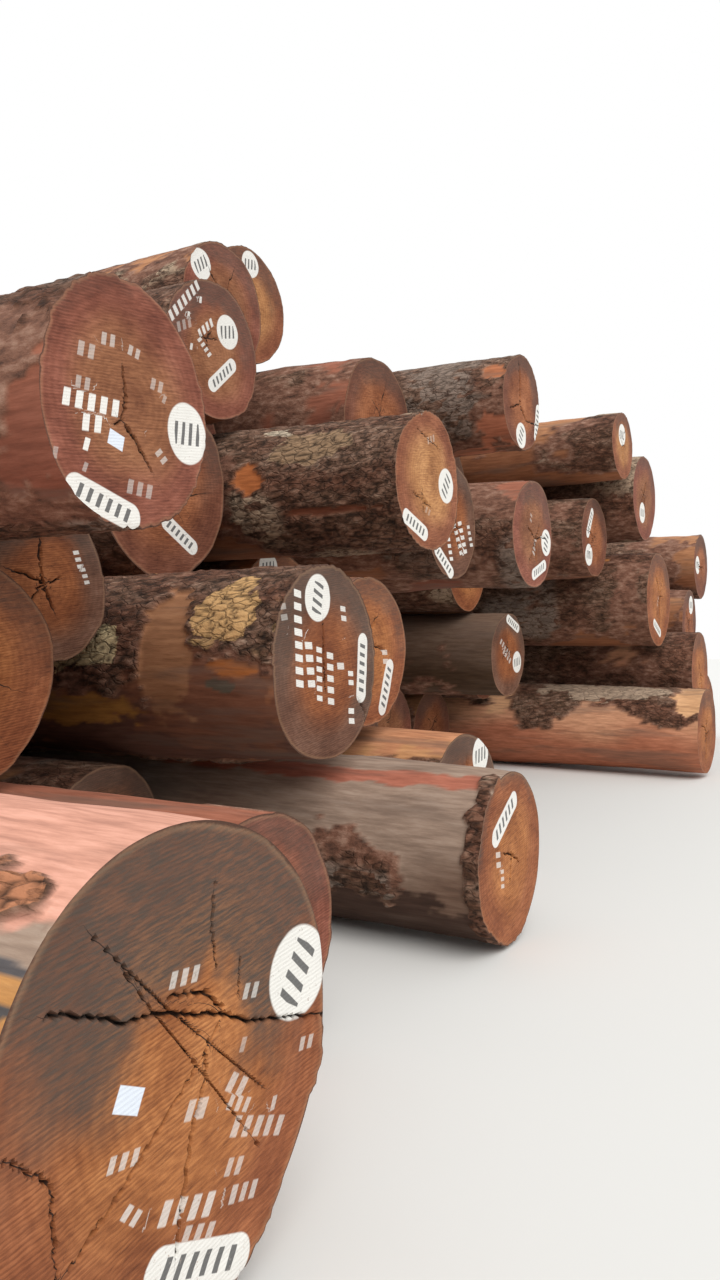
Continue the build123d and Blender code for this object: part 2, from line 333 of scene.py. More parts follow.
# name: rows of stencilled bars (x, z, turn, how many, how bright, length)
MM = 1000  # millimetres in a metre
BAR_STEP = 0.034  # metres from bar to bar of a row at scale 1
ROWS = {
    "ground_log_1": [
        (-7, 198, -5, 3, 0.55, 97), (206, 106, -11, 2, 0.5, 64), (178, -2, -14, 1, 0.3, 30),
        (417, -81, -7, 2, 0.45, 60), (158, -80, -33, 2, 0.5, 80), (165, -124, -26, 3, 0.5, 90),
        (291, -174, -9, 1, 0.5, 30), (29, -81, -15, 2, 0.5, 79), (234, -201, -22, 5, 0.5, 208),
        (-173, -95, -10, 3, 0.55, 90), (150, -252, -19, 2, 0.45, 70),
        (-153, -206, -42, 2, 0.6, 60), (3, -270, -19, 4, 0.65, 182), (183, -322, -17, 3, 0.5, 108),
        (35, -338, -21, 3, 0.5, 114),
    ],
    "lower_log_3": [
        (-250, 164, -86, 8, 1, 456), (-153, 47, -80, 4, 0.95, 234), (-72, 2, -87, 6, 0.95, 266),
        (25, -22, -86, 5, 0.9, 267), (114, 34, -79, 1, 0.8, 58), (135, 283, -82, 2, 0.8, 91),
        (210, -26, -82, 2, 0.95, 88), (225, -210, -83, 2, 1, 98), (-374, 280, -71, 2, 0.35, 99),
    ],
    "lower_log_2": [(187, 124, -68, 3, 0.9, 100), (229, 50, -67, 3, 0.8, 93)],
    "lower_log_4": [
        (-129, 217, -46, 4, 0.7, 152), (-76, 128, -51, 5, 0.7, 203), (-32, 55, -44, 4, 0.65, 181),
        (181, -50, -78, 2, 0.6, 108),
    ],
    "middle_log_1": [
        (-180, -38, 2, 5, 1, 267), (-179, -102, 4, 2, 1, 106), (-205, -172, -6, 1, 1, 40),
        (-101, 179, 4, 2, 0.45, 78), (-200, 121, 1, 2, 0.4, 91), (20, 170, -7, 2, 0.45, 69),
        (-217, 15, 2, 2, 0.4, 77), (132, 85, -4, 2, 0.35, 78), (170, 46, -15, 1, 0.3, 30),
        (150, -153, -40, 2, 0.45, 67), (-352, -219, 0, 2, 0.3, 71), (-213, -244, -12, 1, 0.35, 30),
        (37, -279, -3, 3, 0.35, 139),
    ],
    "middle_log_3": [(20, 240, 20, 3, 0.25, 120), (-20, -200, -18, 2, 0.2, 80)],
    "middle_log_4": [
        (-49, -171, -71, 6, 0.9, 289), (82, -113, -59, 6, 0.85, 323),
        (173, -116, -65, 5, 0.85, 275), (301, -93, -68, 4, 0.8, 187),
    ],
    "middle_log_5": [(30, -100, 70, 4, 0.45, 160), (-50, 120, 75, 2, 0.3, 80)],
    "upper_log_1": [
        (-269, 270, 47, 7, 0.8, 400), (-118, 315, 5, 1, 0.8, 40), (-231, 190, 4, 1, 0.8, 40),
        (-271, 120, 28, 3, 0.3, 166), (-69, 153, 41, 4, 0.85, 193), (-203, 3, 2, 1, 0.75, 40),
        (-79, 30, -37, 4, 0.75, 156),
    ],
    "lower_log_8": [(-77, 82, -31, 5, 0.5, 288), (-28, -2, -32, 4, 0.5, 233)],
    "ground_log_4": [(-160, 4, -83, 2, 0.6, 93), (-111, -92, -83, 3, 0.6, 103)],
    "middle_log_9": [(-50, -50, 60, 3, 0.3, 120)],
    "top_log_1": [(-200, 50, 50, 5, 0.3, 200), (-100, -50, 55, 4, 0.3, 160)],
}
print("faces with marks:", len(MARKS))

# %% [markdown]
# A log dries from its ends, and the outer wood shrinks more than the heart, so the face tears
# open in checks that run out from the heart. On the large faces they are drawn after the
# photograph, as lines of points. Each is a groove in the mesh, not only a dark line.

# %% Checks on the faces
# name: lines of (half its width, how far it wavers, points (x, z) from the middle), in millimetres
CHECKS = {
    "ground_log_1": [
        (4.2, 2.5, [
            (-356, 232), (-323, 224), (-233, 189), (-168, 158), (-80, 148), (36, 107), (121, 82),
            (187, 44), (293, 15), (467, -31), (535, -40),
        ]),
        (3.6, 3, [(-52, 170), (-3, 163), (57, 146), (89, 118), (121, 86)]),
        (1.6, 0, [(-263, 354), (-52, 146), (256, -127)]),
        (1.2, 0, [(-193, 280), (-102, 164), (36, -1), (234, -243)]),
        (2.8, 3, [(98, 76), (57, 25), (-61, -59), (-209, -169), (-323, -231)]),
        (3.2, 3, [(57, 29), (57, -29), (15, -120), (-18, -271), (-32, -349)]),
        (2.2, 3, [(-447, 30), (-345, -54), (-334, -225)]),
        (1.6, 2, [(82, 370), (73, 280), (89, 192)]),
        (1.4, 2, [(165, 186), (165, 100)]),
    ],
    "lower_log_3": [
        (4, 3, [(-50, 242), (-33, 26), (-18, -73)]),
        (3, 3, [(295, -140), (355, -196), (349, -355)]),
    ],
    "middle_log_1": [
        (5, 3, [(-37, 100), (-24, 27), (-28, -25), (-45, -67)]),
        (5, 3, [(-45, -67), (16, -114), (93, -206)]),
        (3, 3, [(-85, -87), (-45, -67)]),
    ],
    "upper_log_1": [
        (6, 4, [(-126, 87), (-45, 96), (38, 112)]),
        (5, 4, [(-16, 142), (-45, 96), (-59, 48)]),
    ],
    "middle_log_3": [
        (4, 3, [(-216, -113), (-86, -141), (16, -172)]),
        (4, 3, [(-102, -69), (-86, -141), (-78, -206)]),
        (3, 3, [(-156, 273), (7, 228), (150, 200)]),
    ],
    "ground_log_4": [
        (5, 4, [(-100, 20), (0, 0), (90, -50)]),
        (4, 4, [(0, 0), (-20, -120)]),
    ],
    "upper_log_4": [
        (8, 5, [(-68, 328), (-46, 145), (-46, -26)]),
        (8, 5, [(-250, -98), (-46, -26), (88, -146), (391, -134)]),
    ],
    "upper_log_2": [
        (10, 6, [(-250, -150), (-100, -20), (50, 100), (200, 200)]),
    ],
}
STAR_ARMS = 5
STAR_LINE = (5, 4)  # half width and waver of a line of a face that has none drawn


def star_of(seed, radius):
    """Checks of a face that has none drawn: arms from near the heart, each with one bend.

    They are in millimetres, as those of CHECKS are.
    """
    rng = np.random.default_rng(seed)
    heart = rng.uniform(-0.12, 0.12, 2) * radius
    lines = []
    for arm in range(STAR_ARMS):
        turn = 2 * math.pi * (arm + rng.uniform(-0.3, 0.3)) / STAR_ARMS
        out = rng.uniform(0.15, 0.6) * radius
        way = np.array([math.cos(turn), math.sin(turn)])
        bend = heart + way * out / 2 + rng.uniform(-0.05, 0.05, 2) * radius
        lines.append((*STAR_LINE, [tuple(p * MM) for p in (heart, bend, heart + way * out)]))
    return lines


WAVER_X, WAVER_Z = (190, 47), (170, 53)  # radians a metre: a waver's own, and of what bends it
NO_LINE = 99.0  # half widths, where no line is near
TIP_WIDTH = 0.35  # how wide a line begins and ends beside its middle


def gap_to_lines(x, z, lines):
    """Signed distance from each point to the nearest line, in half widths of that line.

    For a point p and a run from a to b, the foot is a + t(b - a) with t the share of p - a
    along the run, held between 0 and 1. The sign is the side of the run, so that a value
    between two grid points still passes through 0 on the line, and the line stays sharp
    however wide the grid is. The line tapers away towards its two ends.
    """
    nearest = np.full(x.shape, NO_LINE)
    for half_width, waver, points in lines:
        half_width, waver, points = half_width / MM, waver / MM, np.array(points) / MM
        px = x + waver * np.sin(z * WAVER_X[0] + 2 * np.sin(z * WAVER_X[1]))
        pz = z + waver * np.sin(x * WAVER_Z[0] + 2 * np.sin(x * WAVER_Z[1]))
        runs = len(points) - 1
        for run, ((ax, az), (bx, bz)) in enumerate(zip(points[:-1], points[1:])):
            dx, dz = bx - ax, bz - az
            t = np.clip(((px - ax) * dx + (pz - az) * dz) / (dx * dx + dz * dz), 0, 1)
            share = (run + t) / runs
            swell = np.sin(math.pi * (0.08 + 0.84 * share))
            width = half_width * (TIP_WIDTH + (1 - TIP_WIDTH) * swell)
            gap = np.hypot(px - ax - t * dx, pz - az - t * dz) / width
            side = np.where((px - ax) * dz - (pz - az) * dx < 0, -1.0, 1.0)
            nearest = np.where(gap < np.abs(nearest), side * gap, nearest)
    return nearest


print("faces with checks drawn by hand:", len(CHECKS))

# %% [markdown]
# Rain and sun grey a face from its upper rim inwards. Where and how far is noted for the faces
# that the photograph shows well.

# %% Greyed parts of the faces
# name: direction in degrees, how narrow (-1 all round, 1 none), where it starts, how strong
GREYED = {
    "ground_log_1": (88, 0.30, 0.24, 1.0),
    "ground_log_4": (120, 0.5, 0.75, 0.8),
    "lower_log_3": (70, 0.0, 0.60, 0.7),
    "middle_log_1": (120, 0.6, 0.85, 0.35),
    "upper_log_1": (90, 0.2, 0.5, 0.7),
    "middle_log_3": (200, 0.7, 0.9, 0.3),
}
GREYED_FRONT, GREYED_BACK = (80, 0.6, 0.55, 0.6), (80, 0.6, 0.5, 0.7)  # where nothing is noted
print("faces greyed by hand:", len(GREYED))

# %% [markdown]
# The border of a patch is torn, as bark tears in slivers. An ellipse alone would look stamped
# on, so wandering heights push its border in and out: broad ones and fine ones.

# %% Torn patches
# Sums of wandering heights: (number, cells round the log, metres along it, height)
BORDER_WAVES = ((14, 40, 0.12, 0.34), (15, 110, 0.04, 0.18))
TORN_EDGE = (0.86, 1.02)  # where a listed patch ends, in its half sizes


def patch_share(seed, around, along, girth, turn, behind, wide, long):
    """1 inside a patch of the skin and 0 outside it, with a torn edge.

    The offset round the stem, as a share of it from -0.5 to 0.5, times the girth is a length.
    The squares of the two lengths, each over the patch's half size, are summed and rooted, and
    wandering heights push the border in and out.
    """
    start = (turn - math.degrees(SEAM)) / 360
    offset = (around - start + 0.5) % 1.0 - 0.5
    far = np.hypot(offset * girth / wide, (along - behind) / long)
    far = far + waves(seed, around, along, BORDER_WAVES)
    return 1 - soft_step(far, *TORN_EDGE)


# %% [markdown]
# The stem carries three layers: thick plated bark, thin inner bark where the plates broke off,
# and bare wood. A displacement texture could raise the plates, but the same numbers have to
# steer the colours as well. So this function works them out once, for the mesh and the material.

# %% Bark, inner bark and bare wood
BARK_THICK = 0.022  # metres
PLATE_WIDE, PLATE_LONG = 0.050, 0.095  # a bark plate round the stem and along it
PLATE_SHIFT = (0.004, 0.03)  # how far the plates wander: a share of the girth, and metres
COLUMNS_NEEDED = 3  # grid columns that a bark plate takes to show its full relief
LEAST_RELIEF = 0.15  # the share of it that the widest grids keep
SKIN_UNDER = 0.8  # share of the bark's thickness that lies inside the CAD stem
SKIN_SINK = 0.004  # metres that the wood lies inside it
PLATE_FOOT, INNER_THICK = 0.35, 0.30  # what a plate's foot and the inner bark have of the bark
# A plate's height at its border, what its middle has more, and how much plates differ
PLATE_LOW, PLATE_DOME, PLATE_VARIES = 0.35, 0.5, 0.35
WOOD_CRUMBS = 0.12  # how crumbly bare wood is beside bark
FURROW_EDGE = (0.04, 0.40)  # from the middle of a furrow to the top of its plate
THICK_SOFT, BARE_SOFT = 0.02, 0.015  # how far the borders of thick bark and bare wood blend
# Sums of wandering heights, as those of a patch's border
PEEL_WAVES = ((3, 5, 0.8, 0.62), (4, 14, 0.24, 0.26), (5, 60, 0.06, 0.10))
LUMPS = ((6, 7, 0.7, 0.015), (7, 23, 0.16, 0.004))
CRUMBS = ((8, 110, 0.03, 0.0024),)
# What shifts the plates, and where crust may lie on them
SHIFTS, REGIONS = ((1, 24, 0.20, 1.0),), ((11, 6, 0.55, 0.5),)


def bark_fields(name, around, along, grid, thick_share, bare_share, top_lean):
    """Thick bark, bare wood, furrows, each plate's number and region, and the relief.

    A wandering height, drawn out along the log, is cut at two levels: below the lower one the
    thick bark is left, above the upper one the wood is bare, and between them the thin inner
    bark shows. The levels are the shares of the skin. The relief is the thickness of what is
    left, less its furrows, plus lumps of the wood beneath. Plates and crumbs stand only as high
    as the grid is fine enough to show, which is what mesh_can says.
    """
    seed = seed_of(name)
    girth = 2 * math.pi * STEMS[name]["radius"]
    columns_a_plate = PLATE_WIDE / (girth / grid[0])
    mesh_can = float(np.clip(columns_a_plate / COLUMNS_NEEDED, LEAST_RELIEF, 1))
    shift = waves(seed, around, along, SHIFTS)
    inside, number = plates(
        seed + 2, (around + shift * PLATE_SHIFT[0]) % 1.0, along + shift * PLATE_SHIFT[1],
        round(girth / PLATE_WIDE), PLATE_LONG,
    )
    level = waves(seed, around, along, PEEL_WAVES)
    level = level - 0.5 * top_lean * np.cos(2 * math.pi * (around - 0.5))
    thick_line, bare_line = np.quantile(level, thick_share), np.quantile(level, 1 - bare_share)
    thick = 1 - soft_step(level, thick_line - THICK_SOFT, thick_line + THICK_SOFT)
    bare = soft_step(level, bare_line - BARE_SOFT, bare_line + BARE_SOFT)
    region = 0.5 + waves(seed, around, along, REGIONS)
    for turn, behind, wide, long, what, _ in PATCHES.get(name, []):
        share = patch_share(seed, around, along, girth, turn, behind, wide, long)
        thick = thick + share * ((what != "bare") - thick)
        bare = bare + share * ((what == "bare") - bare)
        region = region + share * ((what == "crust") - region)
    furrow = (1 - soft_step(inside, *FURROW_EDGE)) * thick
    lumps = waves(seed, around, along, LUMPS)
    crumbs = waves(seed, around, along, CRUMBS) * mesh_can
    ragged = PLATE_LOW + PLATE_DOME * inside + PLATE_VARIES * (number - 0.5)
    layer = thick * (PLATE_FOOT + (1 - PLATE_FOOT) * mesh_can * ragged)
    layer = layer + INNER_THICK * (1 - thick) * (1 - bare)
    relief = BARK_THICK * (layer - SKIN_UNDER)
    relief = relief + crumbs * (WOOD_CRUMBS + thick) + lumps - SKIN_SINK
    return thick, bare, furrow * mesh_can, number, region, relief


# %% [markdown]
# A chainsaw does not cut flat: the bar wanders by a few millimetres, so the face is a little
# uneven. Both are only a distance behind the saw's plane.

# %% Sawn faces
CHECK_DEEP = 0.022
GROOVE_EDGE = (0.3, 1.6)  # from the floor of a check to the saw's plane, in half widths
GREY_SOFT, GREY_DEEP = (-0.6, 0.2), 0.25  # how softly the grey ends to its sides and inwards
# Sums of wandering heights on a face, where the pitch is a share of its radius
SAW_WAVES = ((1, 5, 0.25, 0.004), (2, 40, 0.05, 0.0015))
GREY_WAVES = ((3, 11, 0.3, 0.5), (4, 40, 0.08, 0.25))


def face_fields(name, x, z, edge, front):
    """Checks and weathering of a face, and how far it lies behind the saw's plane."""
    seed = seed_of(name) + (9 if front else 10)
    radius = STEMS[name]["radius"]
    lines = CHECKS.get(name) if front else None
    gap = gap_to_lines(x, z, lines or star_of(seed, radius))
    around = (np.arctan2(z, x) / (2 * math.pi)) % 1.0
    uneven = waves(seed, around, edge, SAW_WAVES) * edge
    turn, spread, inner, strength = GREYED.get(name, GREYED_FRONT) if front else GREYED_BACK
    toward = np.cos(np.arctan2(z, x) - math.radians(turn))
    ragged = waves(seed, around, edge, GREY_WAVES)
    weather = soft_step(toward + 0.5 * ragged, spread + GREY_SOFT[0], spread + GREY_SOFT[1])
    weather = strength * weather * soft_step(edge + 0.25 * ragged, inner, inner + GREY_DEEP)
    groove = CHECK_DEEP * (1 - soft_step(np.abs(gap), *GROOVE_EDGE))
    return gap, weather, groove + uneven


# %% [markdown]
# The paint is drawn in the material, but its place differs from log to log. Each log could
# have a material of its own. It is lighter to give every point of the mesh its place beside
# each mark, so that one material serves all the faces.

# %% Places of the marks
BAR_HALF = 0.019  # half the height of a stencilled bar of a row at scale 1
BAR_SLANT = 0.22  # metres to the side for each metre of height
FAR = 9.0  # metres, out of reach of every mark


def turned(across, above, degrees):
    """The same offsets seen from axes that are turned by that angle."""
    c, s = math.cos(math.radians(degrees)), math.sin(math.radians(degrees))
    return across * c + above * s, above * c - across * s


def mark_fields(name, x, z, side):
    """The flat coordinates of each mark and of the rows, and how bright the rows are.

    A point belongs to the row whose bars are nearest. Its coordinates there are scaled, so that
    a bar of every row is one BAR_STEP wide. The back face lies out of reach of all marks.
    """
    fields = {}
    marks = MARKS.get(name, (AWAY,) * 3)
    for mark, (mx, mz, turn) in zip(("disc_at", "pill_at", "tag_at"), marks):
        across, above = turned(x - mx / MM, z - mz / MM, turn)
        fields[mark] = np.stack([across + np.where(side > 0, FAR, 0.0), above, 0 * x], -1)
    rows_at, bright = np.full(x.shape + (3,), FAR), np.zeros(x.shape)
    nearest = np.where(side > 0, -FAR, FAR)
    for mx, mz, turn, count, shine, long in ROWS.get(name, []):
        half = count * BAR_STEP / 2
        scale = 2 * half / (long / MM)
        across, above = (part * scale for part in turned(x - mx / MM, z - mz / MM, turn))
        outside = np.maximum(np.abs(across) - half, np.abs(above) - BAR_HALF)
        near = outside < nearest
        own_at = np.stack([across + half - BAR_SLANT * above, np.abs(above), 0 * x + half], -1)
        rows_at[near], bright[near], nearest[near] = own_at[near], shine, outside[near]
    fields["rows_at"], fields["rows_bright"] = rows_at, bright
    return fields


# %% [markdown]
# The tints ride on the mesh as well. The upper side of a stem is painted lighter and the lower side
# darker, as painted light and shade, and a face is brighter round its heart. So every tint is a
# blend of two colours.

# %% Tints of wood, face and crust
# Bare wood is painted lighter on the upper side of a stem and darker on the lower side: painted
# light and shade
PAINTED_LIGHT_SPAN = (-0.4, 0.7)  # the height on the stem, -1 to 1, where the upper tint begins and ends
HEARTWOOD = (0.40, 0.85)  # shares of the radius where the heart's tint starts to fade and ends
# Sums of wandering heights that push the borders of the two tints
TOP_WAVES, HEART_WAVES = ((12, 9, 0.5, 0.5),), ((13, 7, 0.3, 0.12),)


def tint_fields(name, around, behind_face, edge):
    """The colours of wood, face and crust: blends of two each, and those of the patches."""
    wood, face, flake = look_of(name)[4:]
    seed = seed_of(name)
    up = np.sin(SEAM + 2 * math.pi * around) + waves(seed, around, behind_face, TOP_WAVES)
    out = edge + waves(seed, around, edge, HEART_WAVES) * edge
    # The share of the upper tint: painted light on top of the stem, painted shade underneath
    painted_light, heart = soft_step(up, *PAINTED_LIGHT_SPAN), 1 - soft_step(out, *HEARTWOOD)
    fields = {}
    for field, (one, other), share in (
        ("wood_tint", WOODS[wood], painted_light), ("face_tint", FACES[face], heart),
    ):
        one, other = np.array(linear(one)), np.array(linear(other))
        fields[field] = other + share[..., None] * (one - other)
    fields["crust_tint"] = np.zeros(edge.shape + (3,)) + linear(FLAKES[flake])
    girth = 2 * math.pi * STEMS[name]["radius"]
    for turn, behind, wide, long, what, colour in PATCHES.get(name, []):
        tinted = {"bare": "wood_tint", "crust": "crust_tint"}.get(what)
        if tinted:
            share = patch_share(seed, around, behind_face, girth, turn, behind, wide, long)
            tint = np.array(linear(colour)) - fields[tinted]
            fields[tinted] = fields[tinted] + share[..., None] * tint
    return fields


# %% [markdown]
# Now the skin itself. One grid covers a whole log: its first row is the middle of the front
# face, then come the rings of that face, the rows along the stem, the rings of the back face
# and its middle. So the mesh is closed, and its edge between wood and bark is a shared row.
# A cylinder with a displacement modifier would be quicker to make, but it could not follow the
# felt stem or put more rows where the photograph looks.

# %% The grid of one log
FRONT_CROWD = 1.7  # how much closer the rows lie near the front face
BACK_RINGS = (8, 18)  # fewest and most rings of a back face


def blend_table(table, along, around):
    """Values of a table of stations by angles, blended linearly both ways and closed round."""
    rows, columns = table.shape
    v, u = along * (rows - 1), around * columns
    r, c = np.minimum(np.floor(v).astype(int), rows - 2), np.floor(u).astype(int)
    fv, fu = v - r, u - c
    left, right = c % columns, (c + 1) % columns
    near = table[r, left] * (1 - fu) + table[r, right] * fu
    far = table[r + 1, left] * (1 - fu) + table[r + 1, right] * fu
    return near * (1 - fv) + far * fv


def log_grid(name):
    """Every point of the log's grid and its fields, as arrays of rows by columns."""
    grid, thick_share, bare_share, top_lean = look_of(name)[:4]
    columns, stem_rows, rings = grid
    back_rings = int(np.clip(rings // 3, *BACK_RINGS))
    stem = STEMS[name]
    edge = np.concatenate([
        np.linspace(0, 1, rings + 1)[:-1], np.ones(stem_rows), np.linspace(1, 0, back_rings + 1)[1:]
    ])
    along = np.concatenate([
        np.zeros(rings), np.linspace(0, 1, stem_rows) ** FRONT_CROWD, np.ones(back_rings)
    ])
    side = np.concatenate([-np.ones(rings), np.zeros(stem_rows), np.ones(back_rings)])
    around, edge = np.meshgrid(np.arange(columns) / columns, edge)
    along = np.broadcast_to(along[:, None], edge.shape)
    side = np.broadcast_to(side[:, None], edge.shape)
    angle = SEAM + 2 * math.pi * around
    length = stem["back"] - stem["front"]
    thick, bare, furrow, number, region, relief = bark_fields(
        name, around, along * length, grid, thick_share, bare_share, top_lean
    )
    reach = edge * (blend_table(stem["reach"], along, around) + relief)
    x, z = reach * np.cos(angle), reach * np.sin(angle)
    front = stem["front"] - x * stem["front_slope"][0] - z * stem["front_slope"][1]
    back = stem["back"] - x * stem["back_slope"][0] - z * stem["back_slope"][1]
    gap_f, weather_f, behind_f = face_fields(name, x, z, edge, True)
    gap_b, weather_b, behind_b = face_fields(name, x, z, edge, False)
    y = front + (back - front) * along
    y = y + np.where(side < 0, behind_f, 0) - np.where(side > 0, behind_b, 0)
    fields = {
        "thick": thick, "bare": bare, "furrow": furrow, "plate": number, "region": region,
        "edge": edge,
        "check": np.where(side <= 0, gap_f, gap_b),
        "weather": np.where(side <= 0, weather_f, weather_b),
    }
    fields.update(mark_fields(name, x, z, side))
    fields["face_at"] = np.stack([x, z, 0 * x], -1)
    fields.update(tint_fields(name, around, along * length, edge))
    points = np.stack([stem["x"] + x, y, stem["z"] + z], -1)
    return points, fields, rings, rings + stem_rows - 1


# %% [markdown]
# Arrays go into a mesh in one piece with foreach_set, which is many times quicker than adding
# faces one by one. All points of the first row lie in the middle of the front face, so they
# are merged to one point there, and those of the last row to one at the back.

# %% From arrays to a mesh
SHARP_ANGLE = 55  # degrees between two faces of the mesh


def without_poles(rows):
    """The rows as one list of vertices, with the first and the last row shrunk to a point each."""
    inner = rows[1:-1].reshape((-1,) + rows.shape[2:])
    return np.concatenate([rows[0, :1], inner, rows[-1, :1]])


def grid_faces(rows, columns):
    """Corner numbers of all faces: a fan at each pole and four-cornered faces between rows."""
    ring = 1 + np.arange((rows - 2) * columns).reshape(rows - 2, columns)
    beside = np.roll(ring, -1, axis=1)
    last = 1 + ring.size
    fan_front = np.stack([np.zeros(columns, int), ring[0], beside[0]], -1)
    fan_back = np.stack([ring[-1], np.full(columns, last), beside[-1]], -1)
    quads = np.stack([ring[:-1], ring[1:], beside[1:], beside[:-1]], -1).reshape(-1, 4)
    return fan_front, quads, fan_back


def build_log(name, bark_material, face_material):
    """Makes the log's object: a closed mesh with its fields, riding on the heap."""
    points, fields, face_end, stem_end = log_grid(name)
    rows, columns = points.shape[:2]
    fan_front, quads, fan_back = grid_faces(rows, columns)
    corners = np.concatenate([fan_front.ravel(), quads.ravel(), fan_back.ravel()])
    sizes = np.concatenate([np.full(columns, 3), np.full(len(quads), 4), np.full(columns, 3)])
    quad_row = 1 + np.repeat(np.arange(rows - 3), columns)
    on_face = np.concatenate([
        np.ones(columns, int),
        ((quad_row < face_end) | (quad_row >= stem_end)).astype(int),
        np.ones(columns, int),
    ])
    mesh = bpy.data.meshes.new(name + "_skin")
    vertices = without_poles(points)
    mesh.vertices.add(len(vertices))
    mesh.vertices.foreach_set("co", vertices.astype(np.float32).ravel())
    mesh.loops.add(len(corners))
    mesh.loops.foreach_set("vertex_index", corners.astype(np.int32))
    mesh.polygons.add(len(sizes))
    mesh.polygons.foreach_set("loop_start", (np.cumsum(sizes) - sizes).astype(np.int32))
    mesh.materials.append(bark_material)
    mesh.materials.append(face_material)
    mesh.polygons.foreach_set("material_index", on_face.astype(np.int32))
    mesh.update(calc_edges=True)
    mesh.validate()
    for field, values in fields.items():
        values = without_poles(values)
        kind, slot = ("FLOAT", "value") if values.ndim == 1 else ("FLOAT_VECTOR", "vector")
        attribute = mesh.attributes.new(field, kind, "POINT")
        attribute.data.foreach_set(slot, values.astype(np.float32).ravel())
    mesh.shade_smooth()
    mesh.set_sharp_from_angle(angle=math.radians(SHARP_ANGLE))
    piece = bpy.data.objects.new(name + "_skin", mesh)
    bpy.context.scene.collection.objects.link(piece)
    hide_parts(name)
    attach(piece, "root")
    return len(corners) - 2 * len(sizes)


# %% [markdown]
# Materials are built from nodes. One small function adds a node with its settings and its
# inputs, so that a material reads from top to bottom like a recipe.

# %% The helper for nodes
MIX_A, MIX_B, MIX_OUT = 6, 7, 2  # colour sockets of a Mix node
TIMES, PLUS, MINUS, LARGER, SMALLER, TIMES_PLUS, SIZE = (
    {"operation": operation}
    for operation in (
        "MULTIPLY", "ADD", "SUBTRACT", "MAXIMUM", "MINIMUM", "MULTIPLY_ADD", "ABSOLUTE"
    )
)
MINUS_CLAMPED = {"operation": "SUBTRACT", "use_clamp": True}
SMOOTH = {"interpolation_type": "SMOOTHSTEP"}
COLOURS, NUMBERS = {"data_type": "RGBA"}, {"data_type": "FLOAT"}
MULTIPLIED = {"data_type": "RGBA", "blend_type": "MULTIPLY"}


def add(tree, kind, settings=None, inputs=None):
    """Adds one node. Inputs are plain values or other nodes' sockets, by name or number."""
    made = tree.nodes.new("ShaderNode" + kind)
    for key, value in (settings or {}).items():
        setattr(made, key, value)
    for key, value in (inputs or {}).items():
        if isinstance(value, bpy.types.NodeSocket):
            tree.links.new(value, made.inputs[key])
        else:
            made.inputs[key].default_value = value
    return made


def set_ramp(ramp, stops):
    """Puts the stops (place, hex colour) on a Color Ramp node and returns its colour socket."""
    elements = ramp.color_ramp.elements
    while len(elements) < len(stops):
        elements.new(1.0)
    for element, (place, colour) in zip(elements, stops):
        element.position = place
        element.color = opaque(colour)
    return ramp.outputs["Color"]


def opaque(hex_colour):
    """The hex colour in linear light, with an alpha of 1."""
    return (*linear(hex_colour), 1)


def new_material(name):
    """An empty node material and its tree."""
    material = bpy.data.materials.new(name)
    material.use_nodes = True
    material.node_tree.nodes.clear()
    return material, material.node_tree


# %% [markdown]
# ** Bark over sapwood.** The bark of these trees is thick and plated. The plates are grey-brown
# and weathered, with beige lichen, and the furrows between them get painted shade, nearly black.
# Where a plate broke off, the red inner bark shows. Where the machine's grab peeled the stem, the
# bare wood shows in pink, orange or ochre, with streaks along the grain. It is dry and dirty, so it
# is rough all over and hardly shines.

# %% What the bark reads
STREAK = (1.0, 0.12, 1.0)  # a pattern on these coordinates is eight times as long as wide
STRETCH = (1.0, 0.45, 1.0)  # and on these about twice as long as wide

bark_material, tree = new_material("plated_bark_over_sapwood")
place = add(tree, "TexCoord").outputs["Object"]
streaked, stretched = (
    add(tree, "Mapping", inputs={"Vector": place, "Scale": scale}).outputs[0]
    for scale in (STREAK, STRETCH)
)
thick, bare, furrow, plate, region = (
    add(tree, "Attribute", {"attribute_name": field}).outputs["Fac"]
    for field in ("thick", "bare", "furrow", "plate", "region")
)
wood_tint, crust_tint = (
    add(tree, "Attribute", {"attribute_name": field}).outputs["Color"]
    for field in ("wood_tint", "crust_tint")
)

# %% [markdown]
# A noise of scale 22 has lumps of 1/22 m, or 45 mm. So each scale here is one divided by the
# size of the real thing in metres: crumbs of bark, shades, streaks of the grain, dirt and chips.

# %% Patterns of bark and wood
# Crumbly grain of the bark in lumps of 45 mm and of 11 mm, shades 0.4 m wide, streaks along the
# grain of the wood 24 mm wide, and patches of dirt on it 0.17 m wide
coarse, fine, broad, grain, patch = (
    add(tree, "TexNoise", inputs={
        "Vector": on, "Scale": scale, "Detail": detail, "Roughness": rough,
    }).outputs["Fac"]
    for on, scale, detail, rough in (
        (stretched, 22.0, 8.0, 0.65), (stretched, 90.0, 5.0, 0.7), (stretched, 2.6, 5.0, 0.6),
        (streaked, 42.0, 8.0, 0.62), (streaked, 6.0, 6.0, 0.6),
    )
)
# Chips of 40 mm with bent borders
bend = add(tree, "TexNoise", inputs={"Vector": stretched, "Scale": 14.0, "Detail": 3.0})
bent = add(tree, "Mix", {"data_type": "VECTOR"}, {
    0: 0.06, 4: stretched, 5: bend.outputs["Color"]}).outputs[1]
chips = add(tree, "TexVoronoi", {"feature": "DISTANCE_TO_EDGE"}, {
    "Vector": bent, "Scale": 26.0}).outputs["Distance"]

